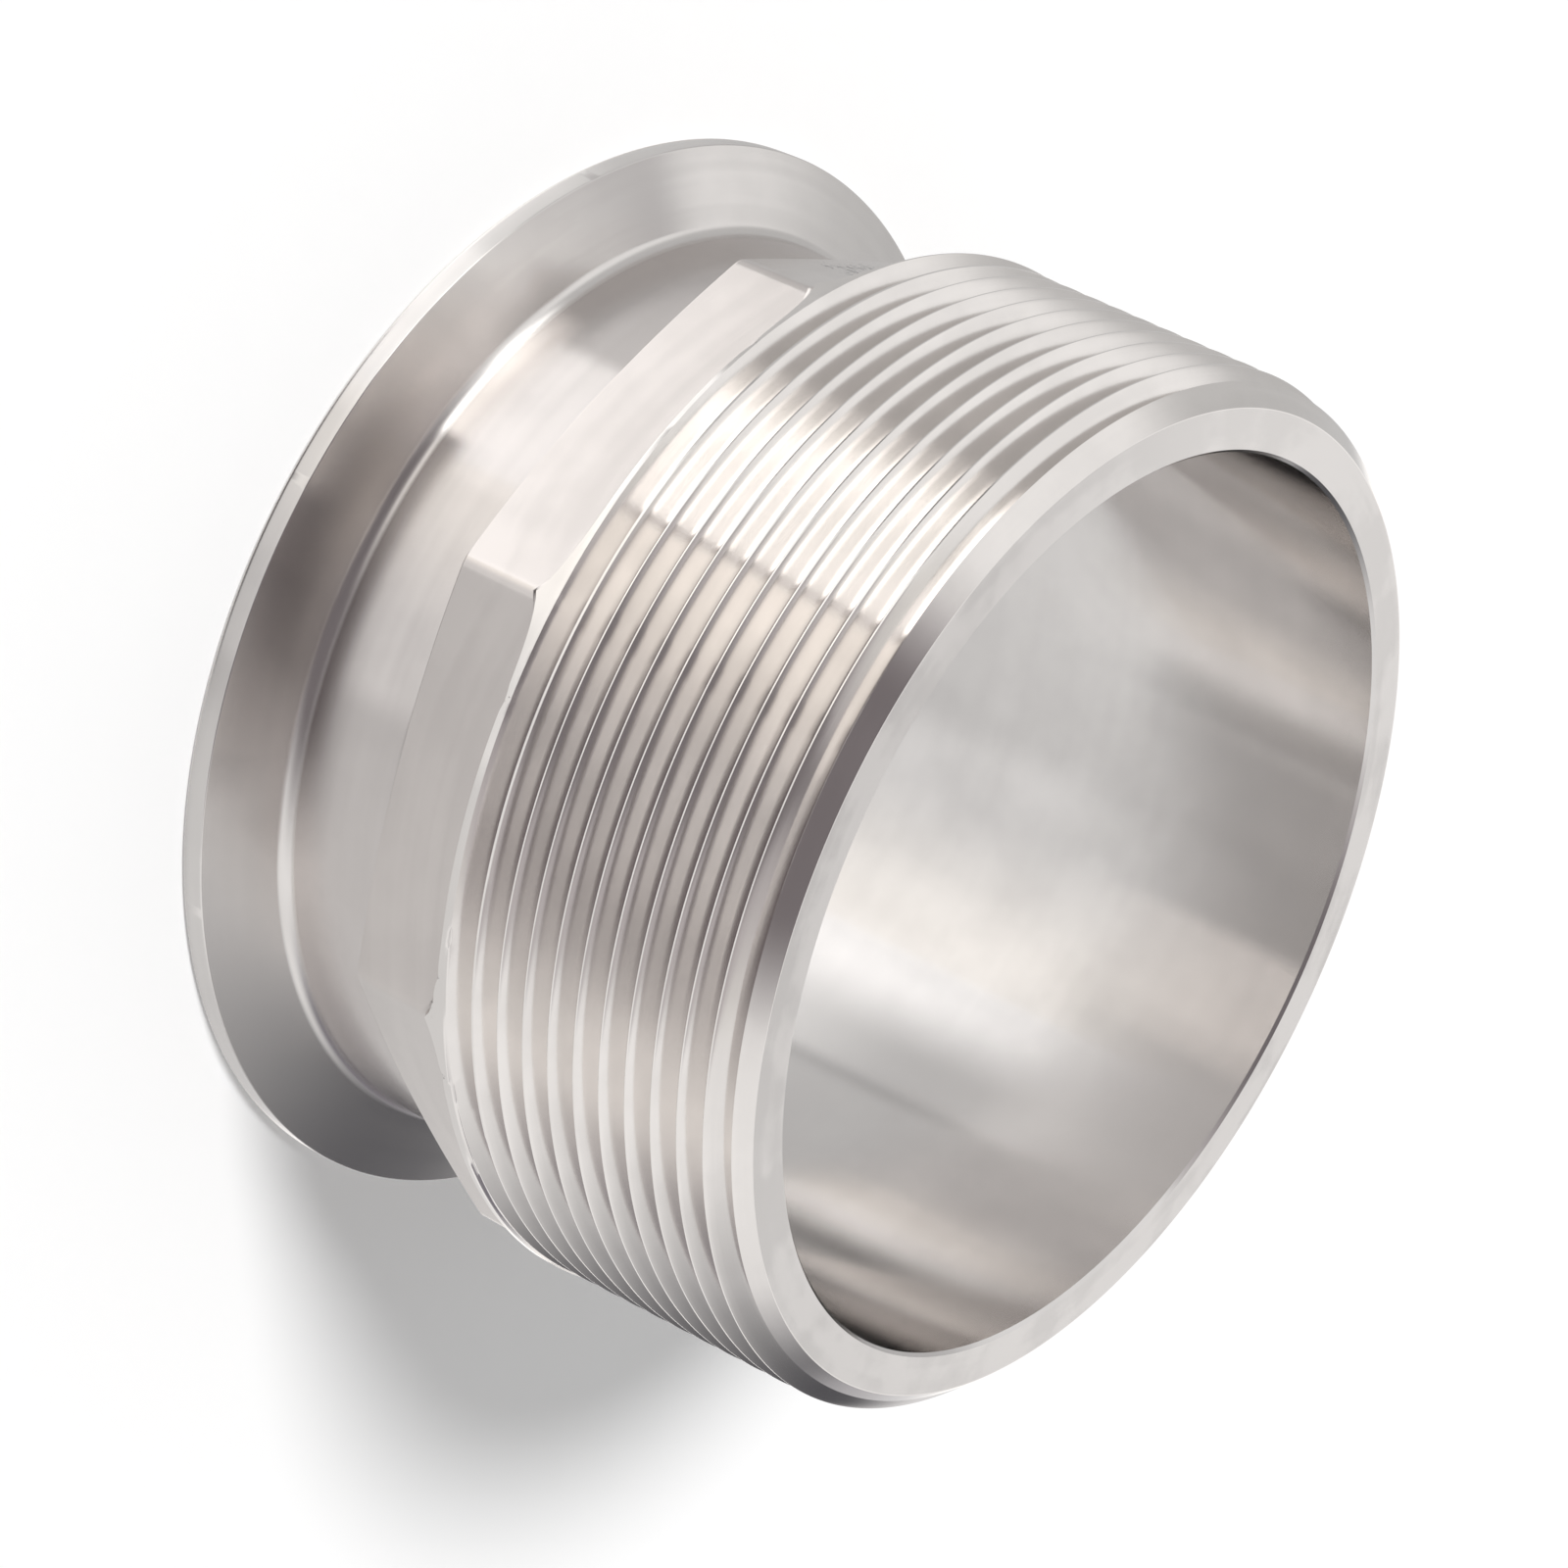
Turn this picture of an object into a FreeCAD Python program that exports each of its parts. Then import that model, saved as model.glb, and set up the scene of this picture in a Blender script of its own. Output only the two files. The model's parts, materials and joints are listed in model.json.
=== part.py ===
import FreeCAD, Part
import math
import os

import Sketcher
from FreeCAD import Placement, Rotation, Vector

# Sanitary clamp ferrule with a male taper pipe thread and an octagonal wrench collar, turned and
# milled from one piece of stainless steel.  The origin is the centre of the clamp face, and +Z runs
# up the bore to the threaded end.  Lengths are millimetres and angles are degrees.

NODE = "threaded_adapter"

# Name, value and meaning of each driving dimension.  On the radius each step starts from another
# one, from the tube outwards, so the walls between them stay when the tube changes.
DIMENSIONS = [
    ("overall_length", 70.0, "clamp face to threaded end face"),
    ("tube_diameter", 101.6, "neck, the outside of a 4 inch tube"),
    ("tube_wall", 2.1, "wall of that tube, which leaves a bore of 97.4"),
    ("bore_bevel", 0.35, "edge break at both ends of the bore"),
    ("flange_width", 8.7, "neck to the edge of the clamp flange, which is 119 across"),
    ("rim_thickness", 2.85, "straight edge of the flange"),
    ("rim_bevel", 0.5, "edge break between that edge and the clamp face"),
    ("clamp_angle", 20.0, "slope of the flange's back and of the collar's shoulder"),
    ("neck_bevel", 0.7, "corner left between the flange and the neck"),
    ("seal_inset", 4.35, "edge of the flange to the middle of the gasket groove"),
    ("seal_width", 4.4, "gasket groove, across its mouth"),
    ("seal_floor", 2.0, "gasket groove, across its floor"),
    ("seal_depth", 1.6, "gasket groove, deep"),
    ("shoulder_height", 19.7, "clamp face to the collar's shoulder, at the neck"),
    ("flat_count", 8, "wrench flats"),
    ("flat_step", 1.7, "neck to the wrench flats, which are 105 across"),
    ("flat_depth", 4.95, "wrench flats to the round land of the collar, 114.9 across"),
    ("flat_length", 13.85, "shoulder at the neck to the wall that ends each flat"),
    ("cutter_corner", 4.0, "corner radius of the milling cutter"),
    ("land_strip", 1.05, "plain land between that wall and the thread"),
    ("thread_pitch", 3.175, "eight threads to the inch"),
    ("thread_angle", 60.0, "flank to flank"),
    ("thread_taper", 0.0625, "change of diameter along the axis, 1 in 16"),
    ("crest_step", 0.22, "land to the thread's crests beside it"),
    ("crest_width", 0.27, "flat on each crest"),
    ("thread_lead", 0.48, "end of the land to the middle of the groove's first full depth"),
    ("thread_phase", -63.0, "turn from +X to that place"),
    ("runout_turn", 50.0, "turn over which the groove fades out behind that place"),
    ("tool_clear", 0.5, "between the metal and a tool that has left it"),
    ("end_chamfer", 2.75, "chamfer of the threaded end, on radius"),
    ("chamfer_angle", 45.0, "its slope from the axis"),
]

# Places worked out from the driving dimensions, on the radius and along the axis.
NECK = "sizes.tube_diameter / 2"
BORE = f"({NECK} - sizes.tube_wall)"
RIM = f"({NECK} + sizes.flange_width)"
FLAT = f"({NECK} + sizes.flat_step)"
LAND = f"({FLAT} + sizes.flat_depth)"
CREST = f"({LAND} - sizes.crest_step)"
OUTSIDE = f"({LAND} + sizes.tool_clear)"
TOP = "sizes.overall_length"
SHOULDER = "sizes.shoulder_height"
FLAT_WALL = "(sizes.shoulder_height + sizes.flat_length)"
LAND_END = f"({FLAT_WALL} + sizes.land_strip)"
THREAD_START = f"({LAND_END} + sizes.thread_lead)"
BACK_SLOPE = "tan(sizes.clamp_angle)"
TAPER = "sizes.thread_taper / 2"
NECK_FOOT = f"(sizes.rim_thickness + sizes.flange_width * {BACK_SLOPE})"
END_EDGE = f"({CREST} - ({TOP} - {LAND_END}) * {TAPER} - sizes.end_chamfer)"

# The blank is longer than the part, so that the thread runs out of the end that is faced off last.
STOCK_TOP = f"({TOP} + 3 * sizes.thread_pitch)"

# Section of the thread groove where it starts.  The flanks go on above the crests until half of the
# crest's width is left between one turn and the next.
FLANK_SLOPE = "tan(sizes.thread_angle / 2)"
GROOVE_DEPTH = f"((sizes.thread_pitch - sizes.crest_width) / 2 / {FLANK_SLOPE})"
CREST_AT_START = f"({CREST} - sizes.thread_lead * {TAPER})"
FLANK_END = f"({CREST_AT_START} + sizes.crest_width / 4 / {FLANK_SLOPE})"
HALF_CUT = "(sizes.thread_pitch / 2 - sizes.crest_width / 4)"
LIFT = f"({GROOVE_DEPTH} + sizes.tool_clear)"


def fill_sheet(doc):
    """Keep the driving dimensions in a spreadsheet, one to a row."""
    sheet = doc.addObject("Spreadsheet::Sheet", "sizes")
    for row, (alias, value, meaning) in enumerate(DIMENSIONS, start=1):
        sheet.set(f"A{row}", meaning)
        sheet.set(f"B{row}", str(value))
        sheet.setAlias(f"B{row}", alias)
    doc.recompute()


def number(item, expression):
    """Work out an expression of the sheet's sizes as a plain number."""
    value = item.evalExpression(expression)
    return float(getattr(value, "Value", value))


def origin_feature(body, role):
    """Find a plane or an axis of the body's own origin."""
    return next(feature for feature in body.Origin.OriginFeatures if feature.Role == role)


def add_sketch(body, name):
    """Start a sketch on the plane through the axis: x is the radius and y the height."""
    sketch = body.newObject("Sketcher::SketchObject", name)
    sketch.AttachmentSupport = [(origin_feature(body, "XZ_Plane"), "")]
    sketch.MapMode = "FlatFace"
    return sketch


def bind(sketch, name, expression, kind, *terms):
    """Add a dimension to a sketch and tie it to the sheet."""
    constraint = sketch.addConstraint(Sketcher.Constraint(kind, *terms, number(sketch, expression)))
    sketch.renameConstraint(constraint, name)
    sketch.setExpression(f"Constraints.{name}", expression)


def draw_outline(sketch, corners, rounded=None, radius=None):
    """Draw a closed outline, counter-clockwise, through named corners.

    Each corner is a radius and a height, both expressions.  The edge that starts from the corner
    named rounded is a quarter circle of that radius, which bulges out of the outline.
    """
    start, end, origin = 1, 2, -1
    points = [Vector(number(sketch, x), number(sketch, y), 0) for x, y in corners.values()]
    edges = []
    for name, first, second in zip(corners, points, points[1:] + points[:1]):
        edge = Part.LineSegment(first, second)
        if name == rounded:
            chord = second - first
            outward = Vector(chord.y, -chord.x, 0) / 2
            edge = Part.Arc(first, (first + second) / 2 + outward * (math.sqrt(2) - 1), second)
        edges.append(sketch.addGeometry(edge, False))
    for edge, following in zip(edges, edges[1:] + edges[:1]):
        sketch.addConstraint(Sketcher.Constraint("Coincident", edge, end, following, start))
    for edge, (name, (x, y)) in zip(edges, corners.items()):
        bind(sketch, f"{name}_radius", x, "DistanceX", origin, start, edge, start)
        bind(sketch, f"{name}_height", y, "DistanceY", origin, start, edge, start)
        if name == rounded:
            bind(sketch, f"{name}_round", radius, "Radius", edge)


def add_feature(body, kind, name, sketch):
    """Add a feature that turns, pushes or winds a sketch."""
    feature = body.newObject(f"PartDesign::{kind}", name)
    feature.Profile = sketch
    return feature


def turn_blank(doc, body):
    """Turn the outside and the bore from one half section."""
    bevel = "sizes.neck_bevel"
    sketch = add_sketch(body, "turned_section")
    draw_outline(sketch, {
        "bore_foot": (BORE, "0"),
        "rim_foot": (RIM, "0"),
        "rim_top": (RIM, "sizes.rim_thickness"),
        "neck_bevel": (f"{NECK} + {bevel} * cos(sizes.clamp_angle)",
                       f"{NECK_FOOT} - {bevel} * sin(sizes.clamp_angle)"),
        "neck_foot": (NECK, f"{NECK_FOOT} + {bevel}"),
        "neck_top": (NECK, SHOULDER),
        "collar_foot": (LAND, f"{SHOULDER} + ({LAND} - {NECK}) * {BACK_SLOPE}"),
        "collar_top": (LAND, LAND_END),
        "thread_foot": (CREST, LAND_END),
        "stock_edge": (f"{CREST} - ({STOCK_TOP} - {LAND_END}) * {TAPER}", STOCK_TOP),
        "bore_top": (BORE, STOCK_TOP),
    })
    blank = add_feature(body, "Revolution", "turned_blank", sketch)
    blank.ReferenceAxis = (sketch, ["V_Axis"])
    blank.Angle = 360
    doc.recompute()


def ring_edge(feature, radius, height):
    """Name the round edge of a feature that has this radius and height."""
    place = Vector(number(feature, radius), number(feature, height), 0)
    for count, edge in enumerate(feature.Shape.Edges, start=1):
        if isinstance(edge.Curve, Part.Circle):
            ring = Vector(edge.Curve.Radius, edge.Curve.Center.z, 0)
            if ring.distanceToPoint(place) < 1e-6:
                return f"Edge{count}"
    raise RuntimeError(f"{feature.Label} has no edge at radius {radius} and height {height}")


def bevel_edges(doc, body, name, size, *places):
    """Bevel the round edges at these places."""
    base = body.Tip
    bevel = body.newObject("PartDesign::Chamfer", name)
    bevel.Base = (base, [ring_edge(base, radius, height) for radius, height in places])
    bevel.setExpression("Size", size)
    doc.recompute()


def cut_seal_groove(doc, body):
    """Turn the groove that seats the gasket in the clamp face."""
    middle = f"({RIM} - sizes.seal_inset)"
    sketch = add_sketch(body, "seal_section")
    draw_outline(sketch, {
        "mouth_inner": (f"{middle} - sizes.seal_width / 2", "0"),
        "mouth_outer": (f"{middle} + sizes.seal_width / 2", "0"),
        "floor_outer": (f"{middle} + sizes.seal_floor / 2", "sizes.seal_depth"),
        "floor_inner": (f"{middle} - sizes.seal_floor / 2", "sizes.seal_depth"),
    })
    groove = add_feature(body, "Groove", "seal_groove", sketch)
    groove.ReferenceAxis = (sketch, ["V_Axis"])
    groove.Angle = 360
    doc.recompute()


def mill_flats(doc, body):
    """Mill the wrench flats, each from the neck up to a wall with the cutter's corner radius."""
    below = f"({NECK_FOOT} + {SHOULDER}) / 2"
    corner = "sizes.cutter_corner"
    sketch = add_sketch(body, "flat_section")
    draw_outline(sketch, {
        "flat_foot": (FLAT, below),
        "outer_foot": (OUTSIDE, below),
        "outer_top": (OUTSIDE, FLAT_WALL),
        "wall_foot": (f"{FLAT} + {corner}", FLAT_WALL),
        "flat_top": (FLAT, f"{FLAT_WALL} - {corner}"),
    }, rounded="wall_foot", radius=corner)
    flat = add_feature(body, "Pocket", "wrench_flat", sketch)
    flat.Type = "Length"
    flat.SideType = "Symmetric"
    flat.setExpression("Length", f"2 * {OUTSIDE}")
    doc.recompute()

    flats = body.newObject("PartDesign::PolarPattern", "wrench_flats")
    flats.Originals = [flat]
    flats.Axis = (origin_feature(body, "Z_Axis"), [""])
    flats.Angle = 360
    flats.setExpression("Occurrences", "sizes.flat_count")
    body.Tip = flats
    doc.recompute()


def draw_groove(body, name):
    """Draw the thread groove's section where it is first full depth.

    Above the crests its sides go straight out, so that one turn of the cut never meets the next.
    """
    outside = f"{CREST_AT_START} + {LIFT}"
    sketch = add_sketch(body, name)
    sketch.AttachmentOffset = Placement(Vector(), Rotation(Vector(0, 1, 0), 1))
    sketch.setExpression(".AttachmentOffset.Rotation.Angle", "sizes.thread_phase")
    draw_outline(sketch, {
        "root": (f"{CREST_AT_START} - {GROOVE_DEPTH}", THREAD_START),
        "flank_low": (FLANK_END, f"{THREAD_START} - {HALF_CUT}"),
        "outside_low": (outside, f"{THREAD_START} - {HALF_CUT}"),
        "outside_high": (outside, f"{THREAD_START} + {HALF_CUT}"),
        "flank_high": (FLANK_END, f"{THREAD_START} + {HALF_CUT}"),
    })
    return sketch


def cut_thread(doc, body):
    """Cut the right-hand taper thread from the land to beyond the end face."""
    sketch = draw_groove(body, "thread_section")
    thread = add_feature(body, "SubtractiveHelix", "thread", sketch)
    thread.ReferenceAxis = (sketch, ["V_Axis"])
    thread.Mode = "pitch-height-angle"
    thread.setExpression("Pitch", "sizes.thread_pitch")
    thread.setExpression("Height", f"{TOP} - {THREAD_START} + 1.5 * sizes.thread_pitch")
    thread.setExpression("Angle", f"-atan({TAPER})")
    doc.recompute()


def cut_runout(doc, body):
    """Lift the same groove out of the metal behind its start."""
    sketch = draw_groove(body, "runout_section")
    runout = add_feature(body, "SubtractiveHelix", "thread_runout", sketch)
    runout.ReferenceAxis = (sketch, ["V_Axis"])
    runout.Mode = "height-turns-growth"
    runout.setExpression("Turns", "sizes.runout_turn / 360")
    runout.setExpression("Height", "sizes.thread_pitch * sizes.runout_turn / 360")
    runout.setExpression("Growth", f"{LIFT} * 360 / sizes.runout_turn")
    runout.Reversed = True
    doc.recompute()


def face_end(doc, body):
    """Face the threaded end to length and chamfer it through the first threads."""
    sketch = add_sketch(body, "facing_section")
    draw_outline(sketch, {
        "axis_foot": ("0", TOP),
        "end_edge": (END_EDGE, TOP),
        "chamfer_foot": (OUTSIDE, f"{TOP} - ({OUTSIDE} - {END_EDGE}) / tan(sizes.chamfer_angle)"),
        "outside_top": (OUTSIDE, f"{STOCK_TOP} + sizes.thread_pitch"),
        "axis_top": ("0", f"{STOCK_TOP} + sizes.thread_pitch"),
    })
    facing = add_feature(body, "Groove", "faced_end", sketch)
    facing.ReferenceAxis = (sketch, ["V_Axis"])
    facing.Angle = 360
    doc.recompute()


def build_adapter(doc):
    """Turn, mill and thread the adapter as one body."""
    body = doc.addObject("PartDesign::Body", "adapter")
    body.Label = NODE
    turn_blank(doc, body)
    bevel_edges(doc, body, "rim_bevel", "sizes.rim_bevel", (RIM, "0"))
    cut_seal_groove(doc, body)
    mill_flats(doc, body)
    cut_thread(doc, body)
    cut_runout(doc, body)
    face_end(doc, body)
    bevel_edges(doc, body, "bore_bevels", "sizes.bore_bevel", (BORE, "0"), (BORE, TOP))
    return body


def check(doc, body):
    """Stop if a feature failed, or if one left the solid as it was."""
    for item in doc.Objects:
        if "Invalid" in item.State or "Error" in item.State:
            raise RuntimeError(f"{item.Label} did not build: {item.State}")
    features = [item for item in body.Group if item.isDerivedFrom("PartDesign::Feature")]
    for feature, following in zip(features, features[1:]):
        change = following.Shape.Volume - feature.Shape.Volume
        print(f"{following.Label}: {change:+.1f} mm3")
        if abs(change) < 1:
            raise RuntimeError(f"{following.Label} changes nothing")
    if body.Shape.isNull() or not body.Shape.isValid() or len(body.Shape.Solids) != 1:
        raise RuntimeError(f"{body.Label} is not one valid solid")


def main():
    doc = FreeCAD.newDocument("adapter")
    fill_sheet(doc)
    body = build_adapter(doc)
    check(doc, body)
    os.makedirs("parts", exist_ok=True)
    body.Shape.exportStep(f"parts/{body.Label}.step")


main()
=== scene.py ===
import json
import math

import bmesh
import bpy
import numpy as np
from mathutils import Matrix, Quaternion, Vector

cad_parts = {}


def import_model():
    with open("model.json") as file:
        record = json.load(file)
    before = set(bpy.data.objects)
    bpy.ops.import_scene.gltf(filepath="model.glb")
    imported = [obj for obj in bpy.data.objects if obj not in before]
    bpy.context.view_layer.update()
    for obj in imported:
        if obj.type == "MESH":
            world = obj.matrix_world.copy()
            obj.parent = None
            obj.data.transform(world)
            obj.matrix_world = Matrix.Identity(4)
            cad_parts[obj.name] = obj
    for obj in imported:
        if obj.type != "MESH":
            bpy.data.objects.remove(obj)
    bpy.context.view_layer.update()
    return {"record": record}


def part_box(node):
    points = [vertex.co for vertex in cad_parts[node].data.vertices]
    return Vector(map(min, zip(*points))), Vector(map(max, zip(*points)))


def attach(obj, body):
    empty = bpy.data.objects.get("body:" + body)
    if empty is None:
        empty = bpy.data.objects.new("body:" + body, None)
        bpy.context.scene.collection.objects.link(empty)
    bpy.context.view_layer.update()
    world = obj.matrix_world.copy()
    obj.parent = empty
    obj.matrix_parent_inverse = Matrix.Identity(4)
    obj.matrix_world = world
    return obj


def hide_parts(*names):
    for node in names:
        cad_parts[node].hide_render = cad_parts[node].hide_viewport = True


# A sanitary clamp ferrule with a male taper pipe thread and an octagonal wrench collar, turned and
# milled from one piece of stainless steel. It stands on its clamp face with its bore upright.
# Sizes are millimetres and angles are degrees, and MM turns millimetres into metres.

MM = 0.001
NODE = "threaded_adapter"

# Turned form, beside the sizes that the frame gives.
TUBE_WALL = 2.1
BORE_BEVEL = 0.35
RIM_THICKNESS = 2.85
RIM_ROUND = 0.8
RIM_BREAK = 0.15
CLAMP_SLOPE = math.tan(math.radians(20))
NECK_ROUND = 1.5
SEAL_INSET = 4.35
SEAL_WIDTH = 4.4
SEAL_DEPTH = 1.6
SHOULDER_HEIGHT = 19.7
SHOULDER_BREAK = 0.15
SHOULDER_ROUND = 0.12
LAND_STRIP = 1.05
CREST_STEP = 0.22
END_CHAMFER = 2.75
END_BREAK = 0.12

# Wrench flats. The cutter's corner sets the line where a flat runs out into the land, and the
# fillet is the round below that line.
FLAT_COUNT = 8
FLAT_DEPTH = 4.95
FLAT_LENGTH = 13.85
CORNER_ROUND = 0.8
CUTTER_CORNER = 4.0
FLAT_FILLET = 1.0

# Right-hand thread, eight to the inch, on a taper of 1 in 16.
PITCH = 3.175
HALF_ANGLE = 30.0
TAPER = 0.0625 / 2
CREST_WIDTH = 0.27
ROOT_WIDTH = 0.13
EDGE_ROUND = 0.11
THREAD_LEAD = 0.48
THREAD_PHASE = -63.0
RUNOUT_TURN = 50.0
RUNOUT_LIFT = 0.5

# Columns of the mesh round the axis, with closer ones at the corners between the flats.
COLUMNS = 400
CORNER_COLUMNS = (-0.5, -0.25, 0.25, 0.5)

# Points of the mesh along each round, and rows inside each flank of the thread.
SEAL_POINTS = 11
RIM_POINTS = 7
BREAK_POINTS = 3
NECK_POINTS = 8
FILLET_POINTS = 8
FLANK_ROWS = 3

# Rows that keep the shading even beside an edge: above the neck's foot as a share of its round,
# below the shoulder, and below the flats' ends.
FOOT_SHARE = 0.8
SHOULDER_HOLD = 1
FLAT_HOLD = 6

# Rows of the flats' lower edge, as shares of its round: inward, down and up.
EDGE_IN = 0.25
EDGE_DOWN = 0.1
EDGE_UP = 0.8

# Step at which a column is searched for the crossings of two cuts, and the decimals to which two
# points have to agree to be one.
FINE_STEP = 0.004
WELD_DECIMALS = 5

# Edges that turn by more than this stay crisp.
CRISP_ANGLE = 40

# Dents and nicks, where the steel is painted dark: angle, rise from the line where the flats run out
# into the land, and size. The dents are a cluster low on one flat, and the nicks bite into that
# line.
DENTS = (
    (-35.8, -10.6, 0.75),
    (-38.0, -10.4, 0.95),
    (-39.8, -10.2, 0.95),
    (-41.8, -10.3, 0.85),
    (-44.0, -10.5, 0.95),
    (-38.4, -9.0, 1.1),
    (-36.6, -7.4, 0.9),
)
NICKS = (
    (-10.6, -0.1, 0.30),
    (32.9, -0.1, 0.34),
    (61.9, 0.1, 0.26),
    (65.1, -0.1, 0.34),
    (66.4, 0.0, 0.30),
    (74.0, 0.0, 0.28),
)
NICK_DEPTH = 0.22
NICK_WIDTH = 0.7

# Finish of each zone: colour, roughness, how far the tool's lines stretch a highlight across them,
# the strength of those lines, and how much bands round the axis and stains change the surface. The
# colours are painted light and shade: the zones are one steel, and each zone's colour is set lighter
# or darker to how bright that zone shows under its light. The zones stand in the order of the mesh's
# parts.
FINISHES_AND_SHADES = {
    "flange_steel": ((0.75, 0.72, 0.7), 0.22, 0.9, 0.35, 0.5, 0.5),
    "turned_steel": ((0.67, 0.63, 0.61), 0.16, 0.9, 0.35, 0.4, 0.5),
    "milled_steel": ((0.69, 0.645, 0.62), 0.2, 0.5, 0.3, 0.5, 0.6),
    "threaded_steel": ((0.82, 0.785, 0.76), 0.12, 0.9, 0.25, 0.4, 0.8),
    "faced_steel": ((0.74, 0.71, 0.69), 0.22, 0.8, 0.3, 0.6, 1.4),
    "bored_steel": ((0.72, 0.695, 0.68), 0.15, 0.95, 0.08, 0.15, 0.5),
}
ZONES = list(FINISHES_AND_SHADES)
STRETCH_TURN = 0.25

# Grain of the tool's lines and of the bands, in features per metre round the axis and across it,
# and grain of the stains in features per metre.
LINE_GRAIN = (20, 2600)
BAND_GRAIN = (14, 420)
GRAIN_DETAIL = 2
STAIN_GRAIN = 110
STAIN_DETAIL = 5
LINE_DEPTH = 0.004
NOISE_MIDDLE = 0.5

# How far the bands and stains reach, and what they do to the colour and the roughness there.
CHANGE_REACH = 0.15
DULLER = 0.93
ROUGHER = 1.08
SMOOTHER = 0.93

# Marks at the dents and nicks: their colour and strength, where they begin to fade and end as
# shares of their size, and the grain that makes them ragged.
MARK_STEEL = (0.2, 0.185, 0.18, 1)
MARK_STRENGTH = 0.75
MARK_FADE = (0.25, 0.6)
MARK_GRAIN = 2400
MARK_DETAIL = 2
RAGGED_NOISE = (0.3, 0.7)
RAGGED_SIZE = (0.2, 1.5)

# Studio cards round the part, the nearest first. Each has its west, east, low and high edges, how
# softly each of these fades, and its colour. The metal alone sees them.
CARD_REACH = 1500
CARD_GAP = 10
CARD_STEP = 5
CARDS = {
    "cone_flag": ((180, 260, 40, 90), (10, 10, 2, 5), (0.3, 0.29, 0.3)),
    "key": ((313, 355, -20, 30), (20, 1, 5, 40), (3.2, 3.2, 3.15)),
    "key_top": ((320, 340, 10, 40), (10, 20, 10, 10), (3.5, 3.5, 3.45)),
    "side_glow": ((355, 400, -40, 10), (2, 40, 5, 30), (1.43, 1.4, 1.35)),
    "dark_wall": ((320, 460, -23, 90), (40, 40, 5, 1), (0.21, 0.19, 0.2)),
    "black_flag": ((135, 200, 0, 80), (40, 20, 10, 10), (0.1, 0.1, 0.11)),
    "grey_flag": ((100, 200, -20, 30), (40, 40, 5, 40), (0.2, 0.19, 0.22)),
    "back_grey": ((220, 320, -40, 30), (10, 5, 5, 10), (0.6, 0.6, 0.6)),
    "low_grey": ((250, 350, -33, -10), (10, 20, 5, 5), (0.1, 0.1, 0.1)),
    "low_dark": ((330, 430, -90, -35), (2, 5, 1, 20), (0.11, 0.1, 0.1)),
    "low_side": ((50, 180, -90, -30), (10, 5, 1, 2), (0.7, 0.7, 0.7)),
    "key_low": ((270, 360, -70, -15), (10, 2, 10, 20), (1.6, 1.6, 1.6)),
    "zenith_dark": ((310, 480, 50, 90), (5, 5, 10, 1), (0.52, 0.49, 0.5)),
    "back_glow": ((160, 250, -80, -10), (10, 10, 10, 10), (1.33, 1.3, 1.27)),
    "top_grey": ((0, 360, 60, 90), (1, 1, 10, 1), (0.81, 0.8, 0.78)),
}

# Level of the white room for the floor, and the lamp that throws the floor's soft shadow.
ROOM_LEVEL = 0.5
LAMP_LEVEL = 0.575
LAMP_AZIMUTH = -10
LAMP_ELEVATION = 46
LAMP_SPREAD = 15

# Floor: half its width, its colour, and what the camera sees beside the light that falls on it.
FLOOR_HALF = 3000
FLOOR_COLOUR = (0.93, 0.93, 0.93, 1)
FLOOR_GLOW = 0.03

# The photograph's view: where the camera stands round the part, where it looks, and how it rolls.
LENS = 107.5
SENSOR = 36
CLIP_NEAR = 10
CLIP_FAR = 10000
CAMERA_AZIMUTH = 27.17
CAMERA_REACH = 416.07
CAMERA_HEIGHT = 291.72
LOOK_AZIMUTH = 26.9
LOOK_DOWN = 32.188
CAMERA_ROLL = 115.556


def read_sizes(frame):
    """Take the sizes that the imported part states, and work out those that follow from them."""
    mounts = {mount["name"]: mount for mount in frame["record"]["mounts"]}
    sizes = {
        "top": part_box(NODE)[1].z / MM,
        "bore": mounts["bore"]["dims"]["r_mm"],
        "rim": mounts["clamp_rim"]["dims"]["r_mm"],
        "flat": mounts["wrench_flat_plus_x"]["pos_m"][0] / MM,
    }
    sizes["neck"] = sizes["bore"] + TUBE_WALL
    sizes["neck_foot"] = RIM_THICKNESS + (sizes["rim"] - sizes["neck"]) * CLAMP_SLOPE
    sizes["land"] = sizes["flat"] + FLAT_DEPTH
    sizes["wall"] = SHOULDER_HEIGHT + FLAT_LENGTH
    sizes["land_end"] = sizes["wall"] + LAND_STRIP
    sizes["crest"] = sizes["land"] - CREST_STEP
    sizes["end_edge"] = sizes["crest"] - (sizes["top"] - sizes["land_end"]) * TAPER - END_CHAMFER
    return sizes


def column_angles():
    """Angles of the mesh's columns, from +X."""
    step = 360 / FLAT_COUNT
    corners = [(k + 0.5) * step + near for k in range(FLAT_COUNT) for near in CORNER_COLUMNS]
    return np.array(sorted(list(np.arange(COLUMNS) * 360 / COLUMNS) + corners))


def from_flat(angles):
    """Turn from the middle of the nearest wrench flat, in radians."""
    step = 360 / FLAT_COUNT
    return np.radians((angles + step / 2) % step - step / 2)


def arc(centre, radius, start, end, count):
    """Points (radius from the axis, height) along an arc of the section, ends included."""
    turns = np.radians(np.linspace(start, end, count))
    return [(centre[0] + radius * math.cos(t), centre[1] + radius * math.sin(t)) for t in turns]


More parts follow.
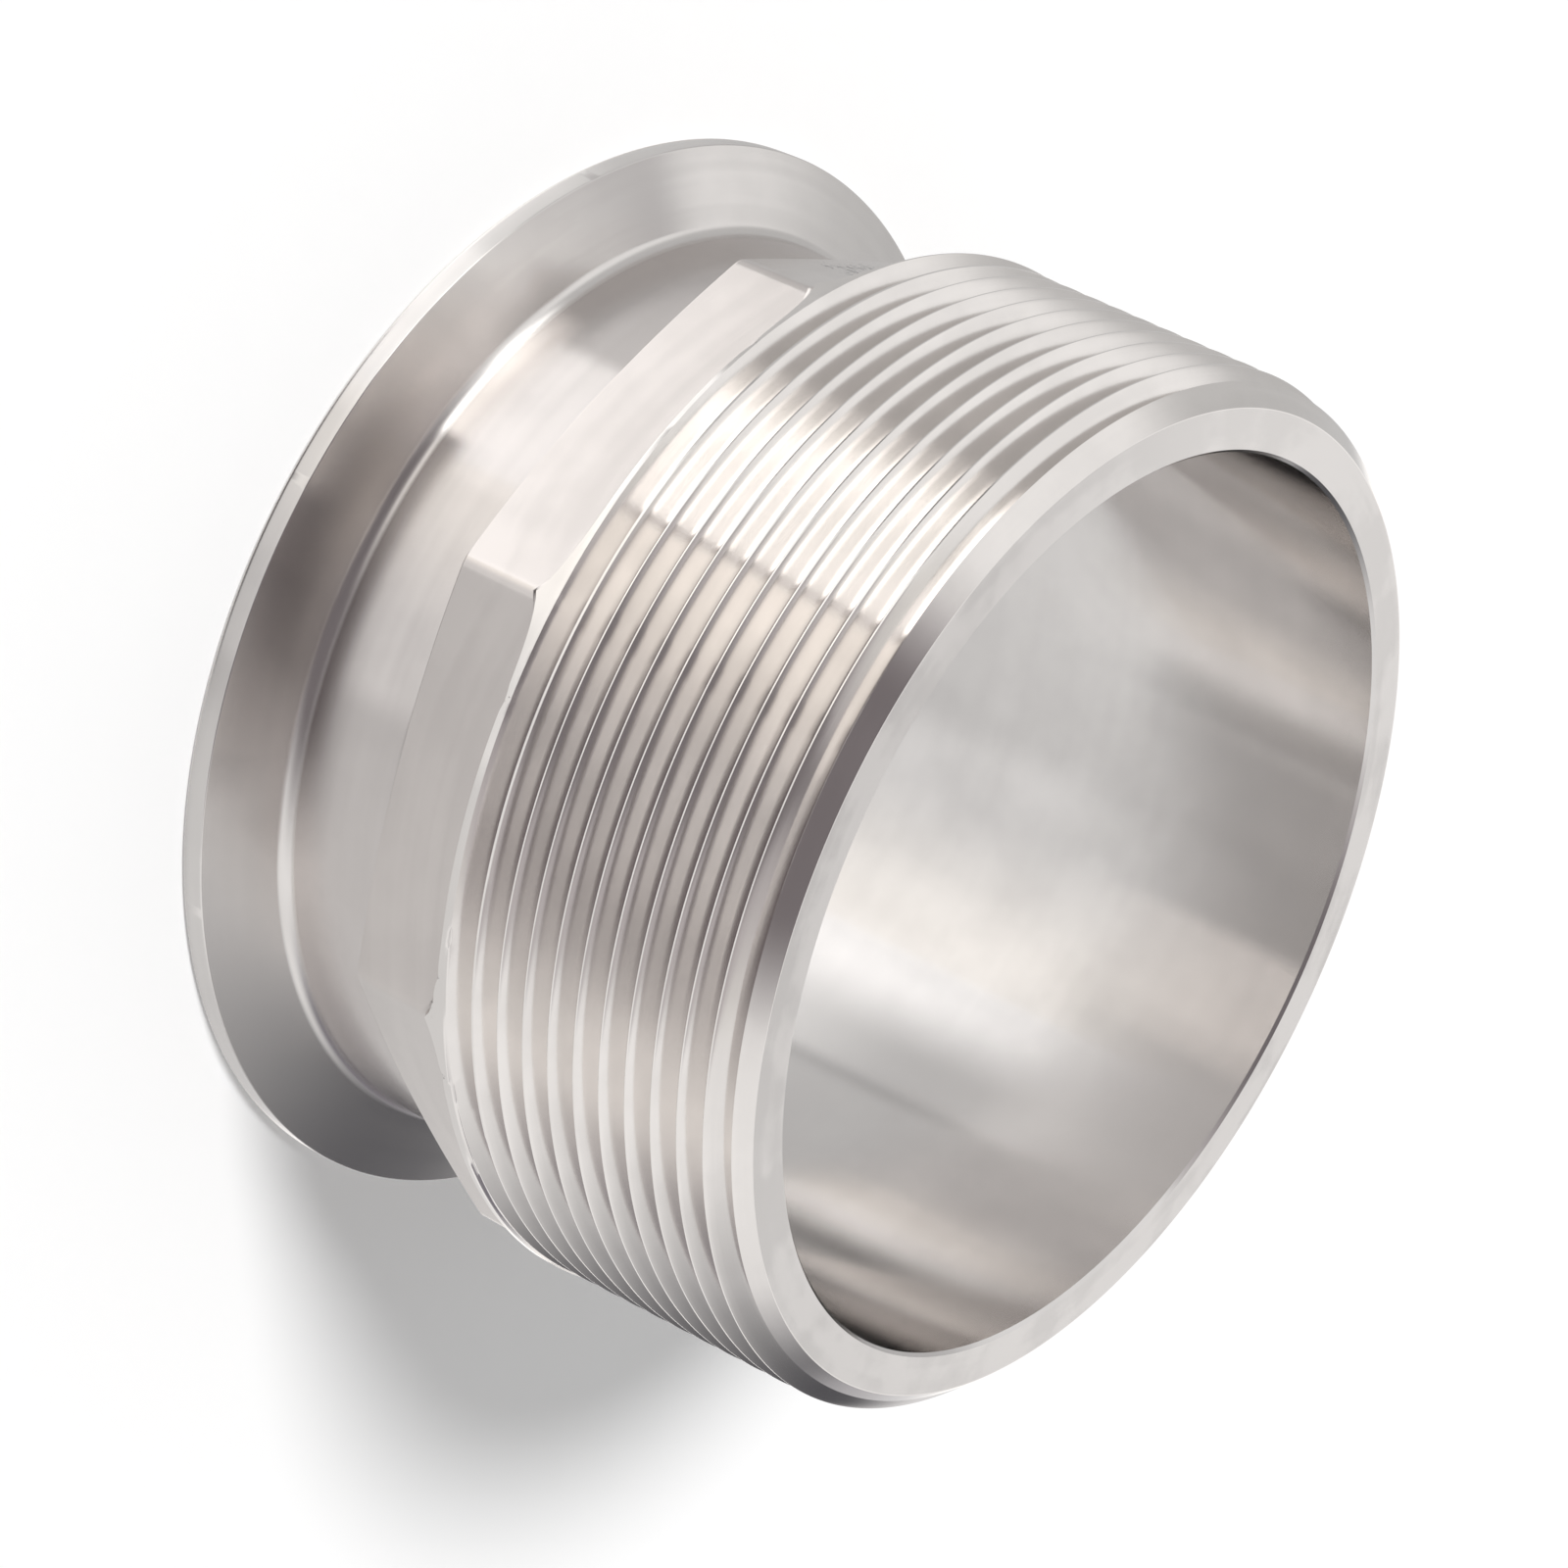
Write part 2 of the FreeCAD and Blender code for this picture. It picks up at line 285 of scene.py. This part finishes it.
def rounded(before, corner, after, radius, count):
    """Points of a small round where two straight lines of the section meet."""
    before, corner, after = (np.array(point, float) for point in (before, corner, after))
    first = (before - corner) / np.linalg.norm(before - corner)
    second = (after - corner) / np.linalg.norm(after - corner)
    half = math.acos(np.clip(first @ second, -1, 1)) / 2
    middle = (first + second) / np.linalg.norm(first + second)
    centre = corner + middle * radius / math.sin(half)
    start = corner + first * radius / math.tan(half) - centre
    end = corner + second * radius / math.tan(half) - centre
    turn = math.atan2(start[0] * end[1] - start[1] * end[0], start @ end)
    points = []
    for share in np.linspace(0, 1, count):
        c, s = math.cos(turn * share), math.sin(turn * share)
        points.append(tuple(centre + (c * start[0] - s * start[1], s * start[0] + c * start[1])))
    return points


def foot_section(sizes):
    """Section from the bore round the clamp face, the gasket groove and the rim to the neck."""
    bore, rim, neck = sizes["bore"], sizes["rim"], sizes["neck"]
    seal = rim - SEAL_INSET
    seal_radius = (SEAL_WIDTH ** 2 / 4 + SEAL_DEPTH ** 2) / (2 * SEAL_DEPTH)
    seal_turn = math.degrees(math.asin(SEAL_WIDTH / 2 / seal_radius))
    seal_centre = (seal, SEAL_DEPTH - seal_radius)
    rim_top = (rim, RIM_THICKNESS)
    neck_foot = (neck, sizes["neck_foot"])
    points = [(bore, BORE_BEVEL), (bore + BORE_BEVEL, 0)]
    points += arc(seal_centre, seal_radius, 90 + seal_turn, 90 - seal_turn, SEAL_POINTS)
    points += rounded((seal, 0), (rim, 0), rim_top, RIM_ROUND, RIM_POINTS)
    points += rounded((rim, 0), rim_top, neck_foot, RIM_BREAK, BREAK_POINTS)
    points += rounded(rim_top, neck_foot, (neck, SHOULDER_HEIGHT), NECK_ROUND, NECK_POINTS)
    return points


def bore_section(sizes):
    """Section from the end face over the bore's edge and down the bore."""
    bore, top = sizes["bore"], sizes["top"]
    return [(bore + BORE_BEVEL, top), (bore, top - BORE_BEVEL)]


def flat_reach(sizes, angles):
    """Radius of the octagon in each column, with its corners rounded."""
    turn = np.abs(from_flat(angles))
    corner = math.pi / FLAT_COUNT
    sharp = sizes["flat"] / np.cos(turn)
    near = np.clip(1 - (corner - turn) * sizes["flat"] / CORNER_ROUND, 0, 1)
    return sharp - near ** 2 * CORNER_ROUND * math.tan(corner) / 2


def wall_height(sizes, angles):
    """Height in each column of the line where the flat runs out into the round land."""
    depth = sizes["land"] * np.cos(from_flat(angles)) - sizes["flat"]
    rise = np.sqrt(np.clip(CUTTER_CORNER ** 2 - (CUTTER_CORNER - depth) ** 2, 0, None))
    height = np.where(depth < CUTTER_CORNER, rise, CUTTER_CORNER)
    return sizes["wall"] - CUTTER_CORNER + height


def nicked_height(sizes, angles):
    """That height with the small nicks that bite into the land's edge."""
    height = wall_height(sizes, angles)
    for angle, _, _ in NICKS:
        away = (angles - angle + 180) % 360 - 180
        height = height + NICK_DEPTH * np.exp(-(away / NICK_WIDTH) ** 2)
    return height


def shoulder_height(sizes, radius):
    """Height of the shoulder's cone at a radius."""
    return SHOULDER_HEIGHT + (radius - sizes["neck"]) * CLAMP_SLOPE


def shoulder_rows(sizes, angles):
    """Rows from the foot of the neck over the shoulder to the edge of the flats."""
    neck, reach = sizes["neck"], flat_reach(sizes, angles)
    foot = sizes["neck_foot"] + NECK_ROUND * FOOT_SHARE
    lip = SHOULDER_HEIGHT + SHOULDER_BREAK * CLAMP_SLOPE
    edge = shoulder_height(sizes, reach)
    even = np.ones_like(angles)
    return [
        (neck * even, foot * even),
        (neck * even, (SHOULDER_HEIGHT - SHOULDER_HOLD) * even),
        (neck * even, (SHOULDER_HEIGHT - SHOULDER_BREAK) * even),
        ((neck + SHOULDER_BREAK) * even, lip * even),
        (reach - SHOULDER_ROUND, edge - SHOULDER_ROUND * CLAMP_SLOPE),
    ]


def flat_rows(sizes, angles):
    """Rows from the shoulder's edge up the flats and over their fillets to the land."""
    reach = flat_reach(sizes, angles)
    edge = shoulder_height(sizes, reach)
    even = np.ones_like(angles)
    rows = [
        (reach - SHOULDER_ROUND * EDGE_IN, edge - SHOULDER_ROUND * CLAMP_SLOPE * EDGE_DOWN),
        (reach, edge + SHOULDER_ROUND * EDGE_UP),
        (reach, (sizes["wall"] - FLAT_HOLD) * even),
    ]
    top = nicked_height(sizes, angles)
    turn = from_flat(angles)
    depth = (sizes["land"] - reach) * np.cos(turn)
    bend = np.arccos(np.clip(1 - depth / FLAT_FILLET, 0, 1))
    for share in np.linspace(0, 1, FILLET_POINTS):
        rise = FLAT_FILLET * (1 - np.cos(bend * share))
        height = top - FLAT_FILLET * (np.sin(bend) - np.sin(bend * share))
        rows.append((np.minimum(reach + rise / np.cos(turn), sizes["land"]), height))
    rows.append((sizes["land"] * even, top))
    return rows


def stock_radius(sizes, heights):
    """Radius of the land and of the crest cone above it."""
    cone = sizes["crest"] - (heights - sizes["land_end"]) * TAPER
    step = np.clip((heights - sizes["land_end"]) / EDGE_ROUND + 0.5, 0, 1)
    return sizes["land"] + (cone - sizes["land"]) * step


def groove_radius(sizes, angles, heights):
    """Radius of the thread groove's flanks and root, with the run-out behind its start."""
    flank = 1 / math.tan(math.radians(HALF_ANGLE))
    start = sizes["land_end"] + THREAD_LEAD
    turned = ((angles - THREAD_PHASE) % 360) / 360
    centre = start + PITCH * (turned + np.round((heights - start) / PITCH - turned))
    depth = ((PITCH - CREST_WIDTH - ROOT_WIDTH) / 2) * flank
    root = sizes["crest"] - (centre - sizes["land_end"]) * TAPER - depth
    away = np.clip(np.abs(heights - centre) - ROOT_WIDTH / 2, 0, None)
    radius = np.where(centre >= start, root + away * flank, np.inf)
    behind = (1 - turned) * 360
    ghost = start - PITCH * behind / 360
    lift = (depth + RUNOUT_LIFT) * behind / RUNOUT_TURN
    away = np.clip(np.abs(heights - ghost) - ROOT_WIDTH / 2, 0, None)
    runout = sizes["crest"] - depth + lift + away * flank
    return np.where(behind < RUNOUT_TURN, np.minimum(radius, runout), radius)


def chamfer_radius(sizes, heights):
    """Radius of the chamfer at the threaded end."""
    return sizes["end_edge"] + sizes["top"] - heights


def outline(sizes, angles, heights):
    """Radius of the threaded outside: the stock, cut by the groove and by the chamfer."""
    cut = np.minimum(stock_radius(sizes, heights), groove_radius(sizes, angles, heights))
    return np.minimum(cut, chamfer_radius(sizes, heights))


def pitch_shares():
    """Shares of one pitch, from the middle of a root, at which the thread has its rows."""
    root, crest, near = ROOT_WIDTH / 2, (PITCH - CREST_WIDTH) / 2, EDGE_ROUND
    flank = list(np.linspace(root + near, crest - near, FLANK_ROWS + 2))
    half = [root - near / 2] + flank + [crest + near / 2]
    return np.array([-x for x in reversed(half)] + half) / PITCH


def thread_rows(sizes, angles):
    """Rows that follow the helix from the land to the end face, and their number in one pitch.

    A column past the full turn goes on one pitch higher, so the rows shift by one pitch there.
    """
    shares = pitch_shares()
    start = sizes["land_end"] + THREAD_LEAD
    low = nicked_height(sizes, angles)
    first = math.floor((low.min() - start) / PITCH) - 2
    last = math.ceil((sizes["top"] - start) / PITCH) + 1
    offsets = np.concatenate([turn + shares for turn in range(first, last)])
    rise = ((angles - THREAD_PHASE) % 360) / 360
    heights = start + PITCH * (offsets[:, None] + rise[None, :])
    heights = np.clip(heights, low[None, :], sizes["top"])
    for column in range(len(angles)):
        heights[:, column] = snapped(sizes, angles[column], heights[:, column])
    radii = outline(sizes, angles[None, :], heights)
    return list(zip(radii, heights)), len(shares)


def snapped(sizes, angle, heights):
    """Move the rows of one column that lie next to an edge between two cuts onto that edge.

    The row below and the row above both move, so that the edge runs on from column to column. The
    thread's crests are left out past the first pitch, because the rows already follow them.
    """
    stock, groove = 0, 1
    fine = np.arange(heights.min(), sizes["top"], FINE_STEP)
    cuts = np.stack([
        stock_radius(sizes, fine),
        groove_radius(sizes, np.full_like(fine, angle), fine),
        chamfer_radius(sizes, fine),
    ])
    lowest = np.argmin(cuts, axis=0)
    moved = heights.copy()
    for change in np.nonzero(np.diff(lowest))[0]:
        edge = (fine[change] + fine[change + 1]) / 2
        on_crest = set(lowest[change:change + 2]) == {stock, groove}
        if on_crest and edge > sizes["land_end"] + PITCH:
            continue
        above = int(np.searchsorted(heights, edge))
        for row in (above - 1, above):
            if heights[0] < heights[row] < sizes["top"]:
                moved[row] = edge
    return np.maximum.accumulate(moved)


def build_mesh(sizes):
    """Join all rows into one closed mesh, and give each face the number of its zone."""
    angles = column_angles()
    even = np.ones_like(angles)
    foot = [(r * even, z * even) for r, z in foot_section(sizes)]
    helix, shift = thread_rows(sizes, angles)
    end = [((sizes["end_edge"] - END_BREAK) * even, sizes["top"] * even)]
    bore = [(r * even, z * even) for r, z in bore_section(sizes)]
    parts = [foot, shoulder_rows(sizes, angles), flat_rows(sizes, angles), helix, end, bore]
    rows = [row for part in parts for row in part]
    zones = [zone for zone, part in enumerate(parts) for _ in part]
    turns = np.radians(angles)
    points = np.stack([np.stack([r * np.cos(turns), r * np.sin(turns), z], -1) for r, z in rows])
    seam = int(np.searchsorted(angles, THREAD_PHASE % 360))
    first = sum(len(part) for part in parts[:3])
    faces = join_rows(points.shape[:2], zones, seam, (first, first + len(helix)), shift)
    return weld(points.reshape(-1, 3), np.array(faces))


def join_rows(shape, zones, seam, helix, shift):
    """Triangles between neighbouring rows and columns, each with the number of its zone.

    The rows of the helix meet those one pitch higher at its seam.
    """
    count, width = shape
    first, last = helix
    number = np.arange(count * width).reshape(count, width)
    faces = []
    for column in range(width):
        after = (column + 1) % width
        here, there = number[:, column], number[:, after].copy()
        if after == seam:
            there[first:last - shift] = number[first + shift:last, after]
            there[last - shift:last] = number[last - 1, after]
        for row in range(count):
            up = (row + 1) % count
            a, b, c, d = here[row], there[row], there[up], here[up]
            if first <= row < last:
                faces += [(a, b, d, zones[row]), (b, c, d, zones[row])]
            else:
                faces += [(a, b, c, zones[row]), (a, c, d, zones[row])]
    return faces


def weld(points, faces):
    """Join points that coincide and drop the faces that this leaves without area."""
    near = np.round(points, WELD_DECIMALS)
    _, first, same = np.unique(near, axis=0, return_index=True, return_inverse=True)
    corners = same.reshape(-1)[faces[:, :3]]
    a, b, c = corners.T
    keep = (a != b) & (b != c) & (c != a)
    return points[first], corners[keep], faces[keep, 3]


def add_object(name, data):
    """Put new data into the scene as an object of that name."""
    item = bpy.data.objects.new(name, data)
    bpy.context.scene.collection.objects.link(item)
    return item


def add_adapter(sizes):
    """Make the adapter's mesh, smooth between its crisp edges, with one material for each zone."""
    points, faces, zones = build_mesh(sizes)
    mesh = bpy.data.meshes.new("adapter")
    mesh.from_pydata((points * MM).tolist(), [], faces.tolist())
    for name in ZONES:
        mesh.materials.append(steel(name, sizes))
    mesh.polygons.foreach_set("material_index", zones.astype(np.int32))
    mesh.shade_smooth()
    shape = bmesh.new()
    shape.from_mesh(mesh)
    wall = {ZONES.index("milled_steel"), ZONES.index("threaded_steel")}
    for edge in shape.edges:
        on_wall = {face.material_index for face in edge.link_faces} == wall
        edge.smooth = not on_wall and edge.calc_face_angle(0) < math.radians(CRISP_ANGLE)
    shape.to_mesh(mesh)
    shape.free()
    piece = add_object("adapter", mesh)
    weighted = piece.modifiers.new("even_shading", "WEIGHTED_NORMAL")
    weighted.mode = "FACE_AREA"
    weighted.keep_sharp = True
    return piece


def add_node(tree, kind, inputs, **settings):
    """Add a node, set its options, and link or set each input by its name or number."""
    node = tree.nodes.new(kind)
    for name, value in settings.items():
        setattr(node, name, value)
    for name, value in inputs.items():
        if isinstance(value, bpy.types.NodeSocket):
            tree.links.new(value, node.inputs[name])
        else:
            node.inputs[name].default_value = value
    return node


def add_math(tree, operation, first, second):
    """Add a Math node and return its result."""
    return add_node(tree, "ShaderNodeMath", {0: first, 1: second}, operation=operation).outputs[0]


def add_vector(tree, operation, inputs):
    """Add a Vector Math node and return it."""
    return add_node(tree, "ShaderNodeVectorMath", inputs, operation=operation)


def add_range(tree, value, low, high, to_low, to_high):
    """Add a smooth Map Range node and return its result."""
    inputs = {"Value": value, "From Min": low, "From Max": high, "To Min": to_low, "To Max": to_high}
    return add_node(tree, "ShaderNodeMapRange", inputs, interpolation_type="SMOOTHSTEP").outputs[0]


def add_mix(tree, share, first, second):
    """Add a node that mixes two colours and return its result."""
    inputs = {"Factor": share, "A": first, "B": second}
    return add_node(tree, "ShaderNodeMix", inputs, data_type="RGBA").outputs["Result"]


def add_noise(tree, vector, scale, detail):
    """Add a Noise Texture node and return its value."""
    inputs = {"Vector": vector, "Scale": scale, "Detail": detail}
    return add_node(tree, "ShaderNodeTexNoise", inputs).outputs[0]


def add_streaks(tree, split, along, grain):
    """Add noise that is drawn out round the axis."""
    around, across = grain
    vector = add_node(tree, "ShaderNodeCombineXYZ", {
        "X": add_math(tree, "MULTIPLY", split["X"], around),
        "Y": add_math(tree, "MULTIPLY", split["Y"], around),
        "Z": add_math(tree, "MULTIPLY", along, across),
    }).outputs[0]
    return add_noise(tree, vector, 1, GRAIN_DETAIL)


def steel(name, sizes):
    """Steel in a colour that paints its zone's light and shade, with the lines of its tool, bands of
    duller sheen, faint stains and dark marks at the dents and nicks.
    """
    # Each zone's colour paints that zone's light and shade on the one steel.
    colour, roughness, stretch, lines, bands, stains = FINISHES_AND_SHADES[name]
    dull = [share * DULLER for share in colour]
    material = bpy.data.materials.new(name)
    material.use_nodes = True
    tree = material.node_tree
    shader = tree.nodes["Principled BSDF"]
    shader.inputs["Metallic"].default_value = 1
    shader.inputs["Anisotropic"].default_value = stretch
    shader.inputs["Anisotropic Rotation"].default_value = STRETCH_TURN
    tangent = add_node(tree, "ShaderNodeTangent", {}, direction_type="RADIAL", axis="Z")
    tree.links.new(tangent.outputs[0], shader.inputs["Tangent"])
    place = tree.nodes.new("ShaderNodeTexCoord").outputs["Object"]
    split = add_node(tree, "ShaderNodeSeparateXYZ", {0: place}).outputs
    flat = add_node(tree, "ShaderNodeCombineXYZ", {"X": split["X"], "Y": split["Y"]}).outputs[0]
    radius = add_vector(tree, "LENGTH", {0: flat}).outputs["Value"]
    along = add_math(tree, "SUBTRACT", split["Z"], radius)
    banding = add_streaks(tree, split, along, BAND_GRAIN)
    banding = add_math(tree, "SUBTRACT", banding, NOISE_MIDDLE)
    staining = add_noise(tree, place, STAIN_GRAIN, STAIN_DETAIL)
    staining = add_math(tree, "SUBTRACT", staining, NOISE_MIDDLE)
    change = add_math(
        tree, "ADD",
        add_math(tree, "MULTIPLY", banding, bands),
        add_math(tree, "MULTIPLY", staining, stains))
    share = add_range(tree, change, -CHANGE_REACH, CHANGE_REACH, 0, 1)
    tint = add_mix(tree, share, (*dull, 1), (*colour, 1))
    rough = add_range(
        tree, change, -CHANGE_REACH, CHANGE_REACH, roughness * ROUGHER, roughness * SMOOTHER)
    if name in ("milled_steel", "threaded_steel"):
        mark = mark_mask(tree, flat, radius, split["Z"], sizes)
        tint = add_mix(tree, mark, tint, MARK_STEEL)
    tooled = add_streaks(tree, split, along, LINE_GRAIN)
    bump = add_node(tree, "ShaderNodeBump", {
        "Strength": lines, "Distance": LINE_DEPTH * MM, "Height": tooled})
    tree.links.new(tint, shader.inputs["Base Color"])
    tree.links.new(rough, shader.inputs["Roughness"])
    tree.links.new(bump.outputs[0], shader.inputs["Normal"])
    return material


def mark_points(sizes):
    """Centre of each dent and nick on a cylinder of the land's radius, and its size, in metres."""
    points = []
    for angle, rise, size in DENTS + NICKS:
        height = float(wall_height(sizes, np.array([angle]))[0]) + rise
        turn = math.radians(angle)
        centre = (sizes["land"] * math.cos(turn), sizes["land"] * math.sin(turn), height)
        points.append(([x * MM for x in centre], size * MM))
    return points


def mark_mask(tree, flat, radius, height, sizes):
    """Mask of the ragged dark marks at the dents and nicks."""
    scale = add_math(tree, "DIVIDE", sizes["land"] * MM, radius)
    level = add_vector(tree, "SCALE", {0: flat, "Scale": scale}).outputs[0]
    rise = add_node(tree, "ShaderNodeCombineXYZ", {"Z": height}).outputs[0]
    spot = add_vector(tree, "ADD", {0: level, 1: rise}).outputs[0]
    ragged = add_noise(tree, spot, MARK_GRAIN, MARK_DETAIL)
    ragged = add_range(tree, ragged, *RAGGED_NOISE, *RAGGED_SIZE)
    mark = 0
    for centre, size in mark_points(sizes):
        away = add_vector(tree, "DISTANCE", {0: spot, 1: centre}).outputs["Value"]
        reach = add_math(tree, "MULTIPLY", away, ragged)
        begin, end = (size * share for share in MARK_FADE)
        mark = add_math(tree, "MAXIMUM", mark, add_range(tree, reach, begin, end, MARK_STRENGTH, 0))
    return mark


def card_mesh(name, reach, edges):
    """Patch of a sphere round the part, with its azimuth and elevation kept as its UV map."""
    west, east, low, high = edges
    across = np.linspace(west, east, max(2, math.ceil((east - west) / CARD_STEP) + 1))
    up = np.linspace(low, high, max(2, math.ceil((high - low) / CARD_STEP) + 1))
    points, marks = [], []
    for azimuth in across:
        for elevation in up:
            turn, rise = math.radians(azimuth), math.radians(elevation)
            level = reach * math.cos(rise)
            points.append((level * math.cos(turn), level * math.sin(turn), reach * math.sin(rise)))
            marks.append((azimuth, elevation))
    faces = []
    for column in range(len(across) - 1):
        for row in range(len(up) - 1):
            here = column * len(up) + row
            faces.append((here, here + len(up), here + len(up) + 1, here + 1))
    mesh = bpy.data.meshes.new(name)
    mesh.from_pydata(points, [], faces)
    layer = mesh.uv_layers.new(name="degrees")
    for loop in mesh.loops:
        layer.data[loop.index].uv = marks[loop.vertex_index]
    return mesh


def card_material(name, edges, fades, colour):
    """Light of one colour that fades to nothing towards each of the card's edges."""
    west, east, low, high = edges
    material = bpy.data.materials.new(name)
    material.use_nodes = True
    material.cycles.emission_sampling = "NONE"
    tree = material.node_tree
    tree.nodes.clear()
    degrees = add_node(tree, "ShaderNodeUVMap", {}, uv_map="degrees").outputs[0]
    split = add_node(tree, "ShaderNodeSeparateXYZ", {0: degrees}).outputs
    shape = add_math(
        tree, "MULTIPLY",
        add_math(tree, "MULTIPLY",
                 add_range(tree, split["X"], west, west + fades[0], 0, 1),
                 add_range(tree, split["X"], east - fades[1], east, 1, 0)),
        add_math(tree, "MULTIPLY",
                 add_range(tree, split["Y"], low, low + fades[2], 0, 1),
                 add_range(tree, split["Y"], high - fades[3], high, 1, 0)))
    clear = tree.nodes.new("ShaderNodeBsdfTransparent").outputs[0]
    glow = add_node(tree, "ShaderNodeEmission", {"Color": (*colour, 1), "Strength": 1}).outputs[0]
    mixed = add_node(tree, "ShaderNodeMixShader", {0: shape, 1: clear, 2: glow}).outputs[0]
    add_node(tree, "ShaderNodeOutputMaterial", {0: mixed})
    return material


def add_card(name, reach):
    """Hang one studio card. Only the metal's reflections see it."""
    edges, fades, colour = CARDS[name]
    mesh = card_mesh(name, reach, edges)
    mesh.materials.append(card_material(name, edges, fades, colour))
    card = add_object(name, mesh)
    card.visible_camera = False
    card.visible_diffuse = False
    card.visible_shadow = False


def add_room():
    """Make the white room that the camera and the metal see. The floor sees it at its own level."""
    world = bpy.data.worlds.new("room")
    world.use_nodes = True
    world.cycles.sampling_method = "NONE"
    tree = world.node_tree
    rays = tree.nodes.new("ShaderNodeLightPath").outputs
    seen = add_math(tree, "MAXIMUM", rays["Is Camera Ray"], rays["Is Glossy Ray"])
    seen = add_math(tree, "MAXIMUM", seen, rays["Is Transmission Ray"])
    level = add_range(tree, seen, 0, 1, ROOM_LEVEL, 1)
    background = tree.nodes["Background"]
    background.inputs["Color"].default_value = (1, 1, 1, 1)
    tree.links.new(level, background.inputs["Strength"])
    bpy.context.scene.world = world


def add_lamp():
    """Add the broad lamp that throws the floor's soft shadow. The metal doesn't reflect it."""
    data = bpy.data.lights.new("lamp", "SUN")
    data.angle = math.radians(LAMP_SPREAD)
    data.energy = LAMP_LEVEL * math.pi / math.sin(math.radians(LAMP_ELEVATION))
    lamp = add_object("lamp", data)
    turn, rise = math.radians(LAMP_AZIMUTH), math.radians(LAMP_ELEVATION)
    away = Vector((math.cos(rise) * math.cos(turn), math.cos(rise) * math.sin(turn), math.sin(rise)))
    lamp.location = away
    lamp.rotation_euler = away.to_track_quat("Z", "Y").to_euler()
    lamp.visible_glossy = False


def add_floor():
    """Lay a plain white floor under the part."""
    half = FLOOR_HALF * MM
    mesh = bpy.data.meshes.new("floor")
    corners = [(-half, -half, 0), (half, -half, 0), (half, half, 0), (-half, half, 0)]
    mesh.from_pydata(corners, [], [(0, 1, 2, 3)])
    floor = add_object("floor", mesh)
    material = bpy.data.materials.new("floor")
    material.use_nodes = True
    tree = material.node_tree
    shader = tree.nodes["Principled BSDF"]
    shader.inputs["Base Color"].default_value = FLOOR_COLOUR
    shader.inputs["Roughness"].default_value = 1
    shader.inputs["Specular IOR Level"].default_value = 0
    shader.inputs["Emission Color"].default_value = (1, 1, 1, 1)
    seen = tree.nodes.new("ShaderNodeLightPath").outputs["Is Camera Ray"]
    glow = add_math(tree, "MULTIPLY", seen, FLOOR_GLOW)
    tree.links.new(glow, shader.inputs["Emission Strength"])
    mesh.materials.append(material)
    floor.visible_glossy = False


def add_camera():
    """Place the camera where the photograph was taken from, rolled as the photograph shows it."""
    turn, look, down = (math.radians(x) for x in (CAMERA_AZIMUTH, LOOK_AZIMUTH, LOOK_DOWN))
    data = bpy.data.cameras.new("camera")
    data.lens = LENS
    data.sensor_width = SENSOR
    data.clip_start = CLIP_NEAR * MM
    data.clip_end = CLIP_FAR * MM
    camera = add_object("camera", data)
    reach, height = CAMERA_REACH * MM, CAMERA_HEIGHT * MM
    camera.location = (reach * math.cos(turn), reach * math.sin(turn), height)
    level = -math.cos(down)
    forward = Vector((level * math.cos(look), level * math.sin(look), -math.sin(down)))
    roll = Quaternion(forward, -math.radians(CAMERA_ROLL))
    camera.rotation_mode = "QUATERNION"
    camera.rotation_quaternion = roll @ forward.to_track_quat("-Z", "Y")
    bpy.context.scene.camera = camera


def main():
    """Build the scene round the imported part."""
    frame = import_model()
    piece = add_adapter(read_sizes(frame))
    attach(piece, "root")
    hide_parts(NODE)
    for number, name in enumerate(reversed(CARDS)):
        add_card(name, (CARD_REACH - CARD_GAP * number) * MM)
    add_room()
    add_lamp()
    add_floor()
    add_camera()
    bpy.context.scene.view_settings.view_transform = "Standard"


main()
